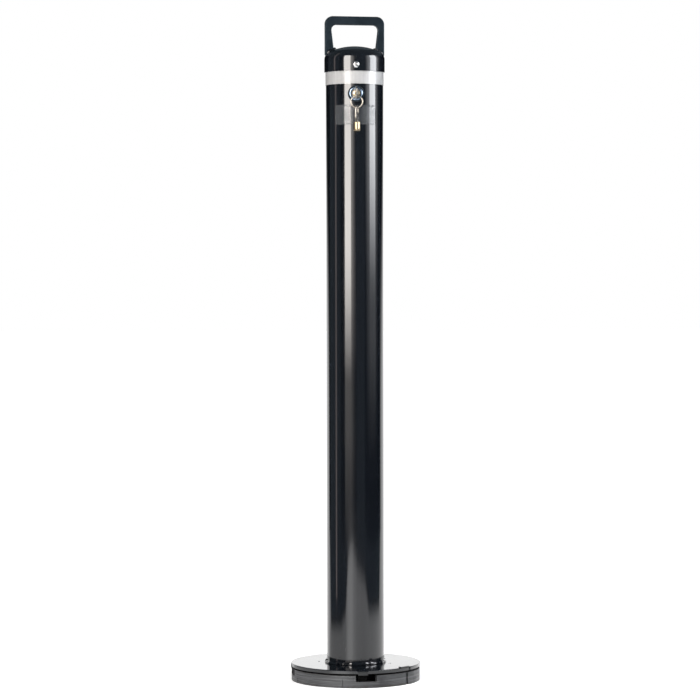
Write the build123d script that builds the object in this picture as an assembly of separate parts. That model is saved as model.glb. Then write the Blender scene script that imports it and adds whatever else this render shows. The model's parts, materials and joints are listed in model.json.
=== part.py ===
from build123d import *
import math
import os

# Removable steel safety bollard, in millimetres.
# Origin: centre of the base's underside. +Z is up, the lock faces -Y, +X is to the right.
# Every piece is drawn as it stands with the post seated and unlocked.
# Azimuths are measured from the front (-Y) and grow towards +X.

# Ground base
BASE_RING_R = 99.4
BASE_BORE_R = 91.0
BASE_RING_HEIGHT = 19.2
BASE_RING_CHAMFER = 0.5
BASE_PLATE_THICKNESS = 5.0
WINDOW_START = -2.5
WINDOW_END = 16.2
WINDOW_SILL = 9.5
WINDOW_COUNT = 4
ANCHOR_CIRCLE_R = 77.5
ANCHOR_HOLE_R = 6.5
ANCHOR_AZIMUTH = 52.0
ANCHOR_COUNT = 4
LOW_BAND_START = -66.7
LOW_BAND_END = -14.7
LOW_BAND_HEIGHT = 8.0
LOW_BAND_DEPTH = 0.6
SLIT_START = -14.5
SLIT_END = -13.9
SLIT_HEIGHT = 13.0
SLIT_DEPTH = 1.6
GROOVE_START = 48.2
GROOVE_END = 50.6
GROOVE_DEPTH = 1.5
PANEL_END = 60.4
PANEL_PROUD = 0.6
PANEL_SLIT_END = 61.3
PANEL_SLIT_DEPTH = 1.2
PANEL_TOP = 18.6

# Keeper that the claws catch under
KEEPER_R = 62.0
KEEPER_WALL_BORE_R = 50.0
KEEPER_HOLE_R = 34.0
KEEPER_LIP_Z = 14.5
KEEPER_TOP_Z = 21.5
KEEPER_SCREW_CIRCLE_R = 56.0
KEEPER_SCREW_R = 2.5
KEEPER_SCREW_HEAD_R = 4.8
KEEPER_SCREW_COUNT = 4
KEEPER_SCREW_SINK = 0.3
KEEPER_SCREW_BOTTOM = 1.0
KEEPER_SOCKET_R = 1.8
KEEPER_SOCKET_DEPTH = 1.6

# Post
FLANGE_R = 100.0
FLANGE_BOTTOM = KEEPER_TOP_Z
FLANGE_TOP = 27.0
FLANGE_EDGE_FILLET = 0.9
LUG_START = -0.4
LUG_END = 7.9
LUG_INNER_R = 91.6
LUG_TONGUE_R = 95.4
LUG_HEAD_R = 100.6
LUG_BOTTOM = 10.2
LUG_HEAD_BOTTOM = 19.6
LUG_TOP = 26.0
LUG_EDGE_FILLET = 1.5
RIM_PAD_START = 41.3
RIM_PAD_END = 52.3
RIM_PAD_HEIGHT = 1.6
RIM_PAD_ROOT = 2.0
RIM_PAD_INNER_R = 94.6
RIM_PAD_OUTER_R = 99.6
RIM_NOTCH_END = 54.4
RIM_NOTCH_DEPTH = 3.0
TUBE_R = 44.45
TUBE_WALL = 3.2
TUBE_BORE_R = TUBE_R - TUBE_WALL
TUBE_TOP = 955.0
WELD_REACH = 5.0
WELD_RISE = 5.6
WELD_BULGE = 0.74

# Cap: a pressed skirt, a rounded shoulder and a shallow dome
CAP_R = 46.7
CAP_WALL = 2.2
CAP_BOTTOM = 938.4
CAP_SHOULDER_Z = 958.0
CAP_SHOULDER_R = 14.5
CAP_APEX = 979.0
CAP_SCREW_Z = 947.8
CAP_SCREW_R = 3.0
CAP_SCREW_COUNT = 3
CAP_SCREW_END_Y = 37.0
CAP_SCREW_SEAT_Y = 46.3
CAP_SCREW_HEAD_R = 5.5
CAP_SCREW_HEAD_HEIGHT = 3.0
CAP_SOCKET_R = 2.2
CAP_SOCKET_DEPTH = 1.8

# Lift handle
HANDLE_WIDTH = 92.8
HANDLE_TOP = 1025.0
HANDLE_BAR = 13.4
HANDLE_PLATE = 8.0
HANDLE_FOOT = 965.0
HANDLE_GAP_TOP = 75.2
HANDLE_GAP_FOOT = 64.0
HANDLE_OUTER_FILLET = 12.0
HANDLE_INNER_FILLET = 8.0
HANDLE_EDGE_FILLET = 1.2
HANDLE_TURN = 8.7
HANDLE_WELD = 3.5

# Band and label round the tube
BAND_BOTTOM = 918.6
BAND_THICKNESS = 0.5
LABEL_BOTTOM = 857.0
LABEL_TOP = 886.0
LABEL_HALF_AZIMUTH = 44.0
LABEL_THICKNESS = 0.3

# Lock; distances named _Y are measured from the post's axis towards the front
LOCK_Z = 903.2
COLLAR_R = 12.4
COLLAR_FRONT_Y = 52.0
COLLAR_ROOT_Y = 40.0
COLLAR_FILLET = 0.8
LOCK_SEAT_Y = 50.0
LOCK_FACE_R = 10.25
LOCK_FACE_Y = 52.6
LOCK_FACE_BEVEL_R = 8.65
LOCK_FACE_BEVEL_Y = 51.4
LOCK_SHANK_R = 9.5
LOCK_BACK_Y = 22.0
LOCK_NUT_Y = 33.8
LOCK_NUT_THICKNESS = 5.0
LOCK_NUT_FLATS = 24.0
PLUG_R = 7.0
PLUG_BACK_Y = 20.0
PLUG_FRONT_Y = 52.2
KEYWAY_BOTTOM_Y = 44.5
CAM_ARM_Y = 17.0
CAM_ARM_HUB_R = 8.0
CAM_ARM_TIP_R = 5.5
CAM_SCREW_R = 2.5
CAM_SCREW_END_Y = 29.0
CAM_SCREW_HEAD_R = 4.5
CAM_SCREW_HEAD_HEIGHT = 3.2
CAM_SCREW_SLOT_HALF_WIDTH = 0.6
CAM_SCREW_SLOT_DEPTH = 1.2
CRANK_R = 13.5
CRANK_START = -45.0
CRANK_SWEEP = 90.0
CRANK_PIN_R = 2.5
CRANK_PIN_END_Y = 5.5
RUNNING_GAP = 0.05

# Latch rod and its plates
ROD_R = 5.0
ROD_TRAVEL = 2 * CRANK_R * math.sin(math.radians(CRANK_SWEEP / 2))
ROD_BOTTOM = 118.0
ROD_TOP = LOCK_Z - 28.0
LIFT_PLATE_THICKNESS = 4.0
LIFT_PLATE_BACK_Y = 8.0
LIFT_PLATE_FOOT_Y = 7.0
LIFT_PLATE_LEFT_X = -10.0
LIFT_PLATE_RIGHT_X = 20.0
LIFT_PLATE_TOP = LOCK_Z + 2.0
CRANK_SLOT_PLAY = 0.6
CRANK_SLOT_END_PLAY = 0.3
UPPER_GUIDE_Z = 830.0
LOWER_GUIDE_Z = 150.0
GUIDE_THICKNESS = 6.0
GUIDE_HOLE_R = 9.0
GUIDE_HOLE_CIRCLE_R = 24.0
GUIDE_HOLE_AZIMUTH = 60.0
GUIDE_HOLE_COUNT = 3
STOP_GAP = 0.3
STOP_R = 10.0
STOP_HEIGHT = 10.0

# Claws, driven by slanted slots in the cam plate
CLAW_PIVOT_X = 20.0
CLAW_PIVOT_Z = 80.0
CLAW_SWING = 8.0
CLAW_PIVOT_R = 4.0
CLAW_THICKNESS = 6.0
CLAW_NEAR_Y = 2.5
CLAW_LEVER = 30.0
CLAW_LEVER_PIN_R = 2.5
CLAW_ARM_INNER_X = 11.0
CLAW_ARM_OUTER_X = 20.0
CLAW_TIP_X = 30.5
CLAW_BOTTOM = 6.0
CLAW_HOOK_TOP = 12.0
CLAW_TIP_CHAMFER = 2.0
CLAW_PIVOT_BOSS_R = 8.0
CLAW_LEVER_BOSS_R = 6.0
CAM_PLATE_HALF_WIDTH = 27.0
CAM_PLATE_BOTTOM = 85.0
CAM_PLATE_THICKNESS = 4.0
CAM_PLATE_CORNER = 4.0
CAM_SLOT_PLAY = 0.3
LEVER_PIN_END_Y = 3.0
CHEEK_HALF_WIDTH = 37.0
CHEEK_TOP = 92.0
CHEEK_CORNER = 12.0
CHEEK_NEAR_Y = 10.0
CHEEK_THICKNESS = 4.0
PIVOT_PIN_END_Y = 15.5

# Keys and their ring
KEY_BARREL_R = 5.0
KEY_BARREL_BORE_R = 3.45
KEY_BARREL_LENGTH = 13.5
KEY_BARREL_END_WALL = 3.0
KEY_BARREL_TIP_Y = 45.0
KEY_NIB_HALF_WIDTH = 0.8
KEY_NIB_DEPTH = 0.5
KEY_NIB_LENGTH = 2.0
KEY_TILT = 8.0
SPARE_KEY_TURN = -16.0
BOW_LENGTH = 25.0
BOW_HEIGHT = 18.0
BOW_THICKNESS = 2.6
BOW_CORNER = 5.0
BOW_RIM = 2.0
BOW_HOLE_LENGTH = 10.0
BOW_HOLE_CORNER = 3.5
RING_WIRE_R = 0.75
RING_R = 8.9
RING_PLAY = 1.0
SPARE_KEY_PLAY = 0.6
KEY_RING_Y = 75.0

# How far a cutting shape reaches past the surface it cuts
CUT = 1.0


def at_front(azimuth):
    """Turn something drawn at the front to an azimuth."""
    return Rot(0, 0, azimuth)


def facing_front(z):
    """Stand something drawn along its own Z axis so that the axis points to the front at height z."""
    return Pos(0, 0, z) * Rot(90, 0, 0)


def front_profile(points):
    """A closed outline given as (radius, height) pairs, in the plane through the axis and the front."""
    corners = [(0, -radius, height) for radius, height in points]
    return make_face(Polyline(*corners, close=True))


def turned(points):
    """A solid of revolution about the post's axis."""
    return revolve(front_profile(points), Axis.Z)


def sector(inner, outer, low, high, start, end):
    """The part of a ring between two azimuths."""
    outline = front_profile([(inner, low), (outer, low), (outer, high), (inner, high)])
    return at_front(start) * revolve(outline, Axis.Z, end - start)


def ring(outer, inner, low, high):
    """A ring between two heights."""
    return turned([(inner, low), (outer, low), (outer, high), (inner, high)])


def rod(radius, low, high):
    """A cylinder on the Z axis between two heights."""
    return Pos(0, 0, low) * Cylinder(radius, high - low, align=(Align.CENTER, Align.CENTER, Align.MIN))


def block(x_low, x_high, y_low, y_high, z_low, z_high):
    """A box between two corners."""
    size = Box(x_high - x_low, y_high - y_low, z_high - z_low, align=(Align.MIN, Align.MIN, Align.MIN))
    return Pos(x_low, y_low, z_low) * size


def cross_pin(radius, x, z, y_low, y_high):
    """A cylinder along Y."""
    return Pos(x, y_high, z) * Rot(90, 0, 0) * rod(radius, 0, y_high - y_low)


def front_plate(sketch, y_low, y_high):
    """A sketch in the X-Z plane made into a plate between two Y positions."""
    return Pos(0, y_high, 0) * extrude(Plane.XZ * sketch, amount=y_high - y_low)


def hull_of_circles(first, first_r, second, second_r):
    """The outline that wraps two circles."""
    circles = Pos(*first) * Circle(first_r) + Pos(*second) * Circle(second_r)
    outlines = (Pos(*first) * Circle(first_r)).edges() + (Pos(*second) * Circle(second_r)).edges()
    return make_hull(outlines) + circles


def filled_cap(extra, bottom=CAP_BOTTOM):
    """The cap's outer shape as one full solid down to a height, grown outwards by extra."""
    shoulder_x = CAP_R - CAP_SHOULDER_R
    rise = CAP_APEX - CAP_SHOULDER_Z
    dome_r = (shoulder_x ** 2 + rise ** 2 - CAP_SHOULDER_R ** 2) / (2 * (rise - CAP_SHOULDER_R))
    dome_z = CAP_APEX - dome_r
    slope = math.atan2(CAP_SHOULDER_Z - dome_z, shoulder_x)

    def on_dome(angle):
        reach = dome_r + extra
        return (0, -reach * math.cos(angle), dome_z + reach * math.sin(angle))

    def on_shoulder(angle):
        reach = CAP_SHOULDER_R + extra
        return (0, -shoulder_x - reach * math.cos(angle), CAP_SHOULDER_Z + reach * math.sin(angle))

    outline = [
        ThreePointArc(on_dome(math.pi / 2), on_dome((math.pi / 2 + slope) / 2), on_dome(slope)),
        ThreePointArc(on_shoulder(slope), on_shoulder(slope / 2), on_shoulder(0)),
        Line(on_shoulder(0), (0, -CAP_R - extra, bottom)),
        Line((0, -CAP_R - extra, bottom), (0, 0, bottom)),
        Line((0, 0, bottom), on_dome(math.pi / 2)),
    ]
    return revolve(make_face(outline), Axis.Z)


def anchor_places():
    """Where the anchor holes stand."""
    azimuths = [ANCHOR_AZIMUTH + 360 / ANCHOR_COUNT * index for index in range(ANCHOR_COUNT)]
    return [at_front(azimuth) * Pos(0, -ANCHOR_CIRCLE_R, 0) for azimuth in azimuths]


def keeper_screw_places():
    """Where the keeper's screws stand."""
    azimuths = [360 / KEEPER_SCREW_COUNT * index for index in range(KEEPER_SCREW_COUNT)]
    return [at_front(azimuth) * Pos(0, -KEEPER_SCREW_CIRCLE_R, 0) for azimuth in azimuths]


def make_base_plate():
    plate = rod(BASE_BORE_R, 0, BASE_PLATE_THICKNESS)
    for place in anchor_places():
        plate -= place * rod(ANCHOR_HOLE_R, 0, BASE_PLATE_THICKNESS)
    for place in keeper_screw_places():
        plate -= place * rod(KEEPER_SCREW_R, KEEPER_SCREW_BOTTOM, BASE_PLATE_THICKNESS)
    return plate


def cut_from_ring(depth, top, start, end):
    """What is cut from the base ring's outside, up to a height and between two azimuths."""
    return sector(BASE_RING_R - depth, BASE_RING_R + CUT, -CUT, top, start, end)


def make_base_ring():
    """The ring wall, with its windows, recessed low band, slits, groove and proud panel."""
    wall = ring(BASE_RING_R, BASE_BORE_R, 0, BASE_RING_HEIGHT)
    wall = chamfer(wall.edges().group_by(Axis.Z)[-1], BASE_RING_CHAMFER)
    above = BASE_RING_HEIGHT + CUT
    for index in range(WINDOW_COUNT):
        turn = 360 / WINDOW_COUNT * index
        window = sector(BASE_BORE_R - CUT, BASE_RING_R + CUT, WINDOW_SILL, above, WINDOW_START, WINDOW_END)
        wall -= at_front(turn) * window
    wall -= cut_from_ring(LOW_BAND_DEPTH, LOW_BAND_HEIGHT, LOW_BAND_START, LOW_BAND_END)
    wall -= cut_from_ring(SLIT_DEPTH, SLIT_HEIGHT, SLIT_START, SLIT_END)
    wall -= cut_from_ring(GROOVE_DEPTH, above, GROOVE_START, GROOVE_END)
    wall -= cut_from_ring(PANEL_SLIT_DEPTH, above, PANEL_END, PANEL_SLIT_END)
    groove_r = BASE_RING_R - GROOVE_DEPTH
    wall += sector(groove_r, BASE_RING_R + PANEL_PROUD, 0, PANEL_TOP, GROOVE_END, PANEL_END)
    return wall


def make_keeper_wall():
    wall = ring(KEEPER_R, KEEPER_WALL_BORE_R, BASE_PLATE_THICKNESS, KEEPER_LIP_Z)
    for place in keeper_screw_places():
        wall -= place * rod(KEEPER_SCREW_R, BASE_PLATE_THICKNESS, KEEPER_LIP_Z)
    return wall


def keeper_screw_body(bottom):
    """A countersunk screw on the Z axis, from a height up to its sunk head."""
    top = KEEPER_TOP_Z - KEEPER_SCREW_SINK
    neck = top - (KEEPER_SCREW_HEAD_R - KEEPER_SCREW_R)
    return turned([(0, bottom), (KEEPER_SCREW_R, bottom), (KEEPER_SCREW_R, neck), (KEEPER_SCREW_HEAD_R, top),
                   (0, top)])


def make_keeper_plate():
    """The lip that the claws catch under, countersunk for its screws."""
    plate = ring(KEEPER_R, KEEPER_HOLE_R, KEEPER_LIP_Z, KEEPER_TOP_Z)
    head_top = KEEPER_TOP_Z - KEEPER_SCREW_SINK
    seat = keeper_screw_body(KEEPER_LIP_Z - CUT) + rod(KEEPER_SCREW_HEAD_R, head_top, KEEPER_TOP_Z + CUT)
    for place in keeper_screw_places():
        plate -= place * seat
    return plate


def make_keeper_screws():
    head_top = KEEPER_TOP_Z - KEEPER_SCREW_SINK
    hexagon = Pos(0, 0, head_top - KEEPER_SOCKET_DEPTH) * RegularPolygon(KEEPER_SOCKET_R, 6)
    screw = keeper_screw_body(KEEPER_SCREW_BOTTOM) - extrude(hexagon, amount=KEEPER_SOCKET_DEPTH + CUT)
    return Compound(children=[place * screw for place in keeper_screw_places()])


def lug_azimuths():
    """Start and end azimuths of each lug."""
    step = 360 / WINDOW_COUNT
    return [(LUG_START + step * index, LUG_END + step * index) for index in range(WINDOW_COUNT)]


def make_post_flange():
    """The flange disc, recessed below for the lugs, with a raised pad and a notch on its rim."""
    plate = ring(FLANGE_R, KEEPER_HOLE_R, FLANGE_BOTTOM, FLANGE_TOP)
    rim = plate.edges().filter_by(GeomType.CIRCLE).sort_by(SortBy.RADIUS)[-2:]
    plate = fillet(rim, FLANGE_EDGE_FILLET)
    pad_top = FLANGE_TOP + RIM_PAD_HEIGHT
    plate += sector(RIM_PAD_INNER_R, RIM_PAD_OUTER_R, FLANGE_TOP - RIM_PAD_ROOT, pad_top, RIM_PAD_START,
                    RIM_PAD_END)
    notch_inner = FLANGE_R - RIM_NOTCH_DEPTH
    notch_bottom = FLANGE_BOTTOM - CUT
    plate -= sector(notch_inner, FLANGE_R + CUT, notch_bottom, pad_top + CUT, RIM_PAD_END, RIM_NOTCH_END)
    for start, end in lug_azimuths():
        plate -= sector(LUG_INNER_R, LUG_HEAD_R + CUT, FLANGE_BOTTOM - CUT, LUG_TOP, start, end)
    return plate


def make_locating_lugs():
    """Lugs set under the flange's rim. Their tongues drop into the base ring's windows."""
    lugs = []
    for start, end in lug_azimuths():
        head = sector(LUG_INNER_R, LUG_HEAD_R, LUG_HEAD_BOTTOM, LUG_TOP, start, end)
        outer_top = head.edges().filter_by(GeomType.CIRCLE).group_by(Axis.Z)[-1].sort_by(SortBy.RADIUS)[-1]
        head = fillet(outer_top, LUG_EDGE_FILLET)
        tongue = sector(LUG_INNER_R, LUG_TONGUE_R, LUG_BOTTOM, LUG_HEAD_BOTTOM, start, end)
        lugs.append(head + tongue)
    return Compound(children=lugs)


def cap_screw_places():
    return [at_front(360 / CAP_SCREW_COUNT * index) for index in range(CAP_SCREW_COUNT)]


def make_post_tube():
    tube = ring(TUBE_R, TUBE_BORE_R, FLANGE_TOP, TUBE_TOP)
    tube -= facing_front(LOCK_Z) * rod(LOCK_SHANK_R + RUNNING_GAP, 0, TUBE_R + CUT)
    for place in cap_screw_places():
        tube -= place * facing_front(CAP_SCREW_Z) * rod(CAP_SCREW_R, 0, TUBE_R + CUT)
    return tube


def make_flange_weld():
    toe = (0, -TUBE_R - WELD_REACH, FLANGE_TOP)
    crown = (0, -TUBE_R - WELD_BULGE * WELD_REACH, FLANGE_TOP + WELD_BULGE * WELD_RISE)
    top = (0, -TUBE_R, FLANGE_TOP + WELD_RISE)
    root = (0, -TUBE_R, FLANGE_TOP)
    outline = [Line(root, toe), ThreePointArc(toe, crown, top), Line(top, root)]
    return revolve(make_face(outline), Axis.Z)


def make_top_cap():
    cap = filled_cap(0) - filled_cap(-CAP_WALL, CAP_BOTTOM - CUT)
    for place in cap_screw_places():
        cap -= place * facing_front(CAP_SCREW_Z) * rod(CAP_SCREW_R, 0, CAP_R + CUT)
    return cap


def make_lift_handle():
    half = HANDLE_WIDTH / 2
    outer = Polygon((-half, HANDLE_FOOT), (half, HANDLE_FOOT), (half, HANDLE_TOP), (-half, HANDLE_TOP),
                    align=None)
    outer = fillet(outer.vertices().group_by(Axis.Y)[-1], HANDLE_OUTER_FILLET)
    gap_top = HANDLE_TOP - HANDLE_BAR
    gap = Polygon((-HANDLE_GAP_FOOT / 2, HANDLE_FOOT), (HANDLE_GAP_FOOT / 2, HANDLE_FOOT),
                  (HANDLE_GAP_TOP / 2, gap_top), (-HANDLE_GAP_TOP / 2, gap_top), align=None)
    gap = fillet(gap.vertices().group_by(Axis.Y)[-1], HANDLE_INNER_FILLET)
    plate = front_plate(outer - gap, -HANDLE_PLATE / 2, HANDLE_PLATE / 2)
    long_edges = plate.edges().filter_by(lambda edge: abs(abs(edge.center().Y) - HANDLE_PLATE / 2) < 0.01)
    upper_edges = long_edges.filter_by(lambda edge: edge.center().Z > HANDLE_FOOT + CUT)
    plate = fillet(upper_edges, HANDLE_EDGE_FILLET)
    return Rot(0, 0, HANDLE_TURN) * plate - filled_cap(0)


def make_handle_welds():
    handle = make_lift_handle()
    half_y = HANDLE_PLATE / 2 + HANDLE_WELD
    inner_x = HANDLE_GAP_FOOT / 2 - HANDLE_WELD
    bead = filled_cap(HANDLE_WELD) - filled_cap(0)
    welds = []
    for turn in (0, 180):
        place = Rot(0, 0, HANDLE_TURN + turn)
        foot = place * block(inner_x, HANDLE_WIDTH / 2, -half_y, half_y, HANDLE_FOOT, CAP_APEX)
        pieces = (bead & foot) - handle
        welds.extend(pieces.solids())
    return Compound(children=welds)


def make_cap_screws():
    """Button-head screws with hexagon sockets, seated on the cap's skirt."""
    rim = (0, -CAP_SCREW_HEAD_R, 0)
    crown = (0, -0.8 * CAP_SCREW_HEAD_R, 0.62 * CAP_SCREW_HEAD_HEIGHT)
    top = (0, 0, CAP_SCREW_HEAD_HEIGHT)
    outline = [Line((0, 0, 0), rim), ThreePointArc(rim, crown, top), Line(top, (0, 0, 0))]
    head = revolve(make_face(outline), Axis.Z)
    hexagon = Pos(0, 0, CAP_SCREW_HEAD_HEIGHT - CAP_SOCKET_DEPTH) * RegularPolygon(CAP_SOCKET_R, 6)
    head -= extrude(hexagon, amount=CAP_SOCKET_DEPTH + CUT)
    screws = []
    for place in cap_screw_places():
        stand = place * facing_front(CAP_SCREW_Z)
        outside = stand * Pos(0, 0, CAP_SCREW_SEAT_Y) * head - filled_cap(0)
        shank = stand * rod(CAP_SCREW_R, CAP_SCREW_END_Y, CAP_R + RUNNING_GAP)
        screws.append(outside + shank)
    return Compound(children=screws)


def make_reflective_band():
    return ring(TUBE_R + BAND_THICKNESS, TUBE_R, BAND_BOTTOM, CAP_BOTTOM)


def make_blank_label():
    outer = TUBE_R + LABEL_THICKNESS
    return sector(TUBE_R, outer, LABEL_BOTTOM, LABEL_TOP, -LABEL_HALF_AZIMUTH, LABEL_HALF_AZIMUTH)


def make_lock_collar():
    """The black surround, standing on the tube, with a recess for the lock's face."""
    bore = LOCK_SHANK_R + RUNNING_GAP
    recess = LOCK_FACE_R + RUNNING_GAP
    sleeve = ring(COLLAR_R, bore, COLLAR_ROOT_Y, COLLAR_FRONT_Y) - rod(recess, LOCK_SEAT_Y, COLLAR_FRONT_Y)
    front_edges = sleeve.edges().filter_by(GeomType.CIRCLE).group_by(Axis.Z)[-1]
    sleeve = fillet(front_edges.sort_by(SortBy.RADIUS)[-1], COLLAR_FILLET)
    return facing_front(LOCK_Z) * sleeve - rod(TUBE_R, FLANGE_TOP, TUBE_TOP)


def make_lock_body():
    bore = PLUG_R + RUNNING_GAP
    body = ring(LOCK_SHANK_R, bore, LOCK_BACK_Y, LOCK_SEAT_Y)
    body += turned([(bore, LOCK_SEAT_Y), (LOCK_FACE_R, LOCK_SEAT_Y), (LOCK_FACE_R, LOCK_FACE_BEVEL_Y),
                    (LOCK_FACE_BEVEL_R, LOCK_FACE_Y), (bore, LOCK_FACE_Y)])
    return facing_front(LOCK_Z) * body


def make_lock_nut():
    outline = RegularPolygon(LOCK_NUT_FLATS / 2, 6, major_radius=False) - Circle(LOCK_SHANK_R)
    return facing_front(LOCK_Z) * Pos(0, 0, LOCK_NUT_Y) * extrude(outline, amount=LOCK_NUT_THICKNESS)


def crank_pin_place():
    """Where the crank pin stands, as (x, height above the lock's axis)."""
    angle = math.radians(CRANK_START)
    return (CRANK_R * math.cos(angle), CRANK_R * math.sin(angle))


def make_lock_plug():
    """The turning centre of the lock, with a ring-shaped keyway in front and a screw hole behind."""
    plug = rod(PLUG_R, PLUG_BACK_Y, PLUG_FRONT_Y)
    plug -= ring(KEY_BARREL_R + RUNNING_GAP, KEY_BARREL_BORE_R - RUNNING_GAP, KEYWAY_BOTTOM_Y, PLUG_FRONT_Y)
    plug -= rod(CAM_SCREW_R, PLUG_BACK_Y, CAM_SCREW_END_Y)
    return facing_front(LOCK_Z) * plug


def make_cam_arm():
    pin = crank_pin_place()
    outline = hull_of_circles((0, 0), CAM_ARM_HUB_R, pin, CAM_ARM_TIP_R)
    outline -= Circle(CAM_SCREW_R)
    outline -= Pos(*pin) * Circle(CRANK_PIN_R)
    thickness = PLUG_BACK_Y - CAM_ARM_Y
    return facing_front(LOCK_Z) * Pos(0, 0, CAM_ARM_Y) * extrude(outline, amount=thickness)


def make_cam_screw():
    head_bottom = CAM_ARM_Y - CAM_SCREW_HEAD_HEIGHT
    screw = rod(CAM_SCREW_HEAD_R, head_bottom, CAM_ARM_Y) + rod(CAM_SCREW_R, CAM_ARM_Y, CAM_SCREW_END_Y)
    slot = block(-CAM_SCREW_HEAD_R, CAM_SCREW_HEAD_R, -CAM_SCREW_SLOT_HALF_WIDTH, CAM_SCREW_SLOT_HALF_WIDTH,
                 head_bottom, head_bottom + CAM_SCREW_SLOT_DEPTH)
    return facing_front(LOCK_Z) * (screw - slot)


def make_crank_pin():
    pin_x, pin_rise = crank_pin_place()
    return facing_front(LOCK_Z) * Pos(pin_x, pin_rise, 0) * rod(CRANK_PIN_R, CRANK_PIN_END_Y, PLUG_BACK_Y)


def rod_guide(z):
    """A disc that fits the tube's bore, with the rod's hole and lightening holes round it."""
    guide = ring(TUBE_BORE_R, ROD_R + RUNNING_GAP, z, z + GUIDE_THICKNESS)
    hole = Pos(0, -GUIDE_HOLE_CIRCLE_R, 0) * rod(GUIDE_HOLE_R, z, z + GUIDE_THICKNESS)
    for index in range(GUIDE_HOLE_COUNT):
        guide -= at_front(GUIDE_HOLE_AZIMUTH + 360 / GUIDE_HOLE_COUNT * index) * hole
    return guide


def make_latch_rod():
    return rod(ROD_R, ROD_BOTTOM, ROD_TOP)


def make_lift_plate():
    """An angle plate on the rod's top, whose level slot takes the crank pin."""
    pin_x, pin_rise = crank_pin_place()
    slot_z = LOCK_Z + pin_rise
    slot_half = CRANK_PIN_R + CRANK_SLOT_PLAY
    slot_start = (pin_x - CRANK_SLOT_END_PLAY, slot_z)
    slot_end = (CRANK_R + CRANK_SLOT_END_PLAY, slot_z)
    slot = hull_of_circles(slot_start, slot_half, slot_end, slot_half)
    front = -LIFT_PLATE_BACK_Y - LIFT_PLATE_THICKNESS
    back = -LIFT_PLATE_BACK_Y
    upright = block(LIFT_PLATE_LEFT_X, LIFT_PLATE_RIGHT_X, front, back, ROD_TOP, LIFT_PLATE_TOP)
    foot = block(LIFT_PLATE_LEFT_X, -LIFT_PLATE_LEFT_X, front, LIFT_PLATE_FOOT_Y, ROD_TOP,
                 ROD_TOP + LIFT_PLATE_THICKNESS)
    return upright + foot - front_plate(slot, front - CUT, back + CUT)


def make_rod_stop():
    """A collar that rests just over the lower guide while the post is unlocked."""
    low = LOWER_GUIDE_Z + GUIDE_THICKNESS + STOP_GAP
    return ring(STOP_R, ROD_R, low, low + STOP_HEIGHT)


def make_claw_cam():
    """A plate whose slots follow the claws' lever pins while the rod rises."""
    plate = Pos(0, (CAM_PLATE_BOTTOM + ROD_BOTTOM) / 2) * RectangleRounded(
        2 * CAM_PLATE_HALF_WIDTH, ROD_BOTTOM - CAM_PLATE_BOTTOM, CAM_PLATE_CORNER)
    swing = math.radians(CLAW_SWING)
    start = (CLAW_PIVOT_X, CLAW_PIVOT_Z + CLAW_LEVER)
    end_x = CLAW_PIVOT_X - CLAW_LEVER * math.sin(swing)
    end_z = CLAW_PIVOT_Z + CLAW_LEVER * math.cos(swing) - ROD_TRAVEL
    slot_r = CLAW_LEVER_PIN_R + CAM_SLOT_PLAY
    for side in (-1, 1):
        plate -= hull_of_circles((side * start[0], start[1]), slot_r, (side * end_x, end_z), slot_r)
    return front_plate(plate, -CAM_PLATE_THICKNESS / 2, CAM_PLATE_THICKNESS / 2)


def make_right_claw():
    """A hook on a lever: boss at the pivot, arm down to the hook, lever up to the cam plate's pin."""
    pivot = (CLAW_PIVOT_X, CLAW_PIVOT_Z)
    lever = (CLAW_PIVOT_X, CLAW_PIVOT_Z + CLAW_LEVER)
    outline = hull_of_circles(pivot, CLAW_PIVOT_BOSS_R, lever, CLAW_LEVER_BOSS_R)
    outline += Polygon((CLAW_ARM_INNER_X, CLAW_BOTTOM), (CLAW_ARM_OUTER_X, CLAW_BOTTOM),
                       (CLAW_ARM_OUTER_X, CLAW_PIVOT_Z), (CLAW_ARM_INNER_X, CLAW_PIVOT_Z), align=None)
    outline += Polygon((CLAW_ARM_INNER_X, CLAW_BOTTOM), (CLAW_TIP_X - CLAW_TIP_CHAMFER, CLAW_BOTTOM),
                       (CLAW_TIP_X, CLAW_BOTTOM + CLAW_TIP_CHAMFER), (CLAW_TIP_X, CLAW_HOOK_TOP),
                       (CLAW_ARM_INNER_X, CLAW_HOOK_TOP), align=None)
    outline -= Pos(*pivot) * Circle(CLAW_PIVOT_R + RUNNING_GAP)
    outline -= Pos(*lever) * Circle(CLAW_LEVER_PIN_R)
    return front_plate(outline, -CLAW_NEAR_Y - CLAW_THICKNESS, -CLAW_NEAR_Y)


def make_right_claw_pin():
    return cross_pin(CLAW_LEVER_PIN_R, CLAW_PIVOT_X, CLAW_PIVOT_Z + CLAW_LEVER,
                     -CLAW_NEAR_Y - CLAW_THICKNESS, LEVER_PIN_END_Y)


def make_claw_bracket():
    """Two cheeks that stand on the flange inside the tube and carry the claws' pivot pins."""
    height = CHEEK_TOP - FLANGE_TOP
    cheek = Pos(0, FLANGE_TOP + height / 2) * Rectangle(2 * CHEEK_HALF_WIDTH, height)
    cheek = fillet(cheek.vertices().group_by(Axis.Y)[-1], CHEEK_CORNER)
    for side in (-1, 1):
        cheek -= Pos(side * CLAW_PIVOT_X, CLAW_PIVOT_Z) * Circle(CLAW_PIVOT_R)
    front_cheek = front_plate(cheek, -CHEEK_NEAR_Y - CHEEK_THICKNESS, -CHEEK_NEAR_Y)
    back_cheek = front_plate(cheek, CHEEK_NEAR_Y, CHEEK_NEAR_Y + CHEEK_THICKNESS)
    return Compound(children=[front_cheek, back_cheek])


def make_claw_pivot_pins():
    pins = [cross_pin(CLAW_PIVOT_R, side * CLAW_PIVOT_X, CLAW_PIVOT_Z, -PIVOT_PIN_END_Y, PIVOT_PIN_END_Y)
            for side in (-1, 1)]
    return Compound(children=pins)


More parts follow.
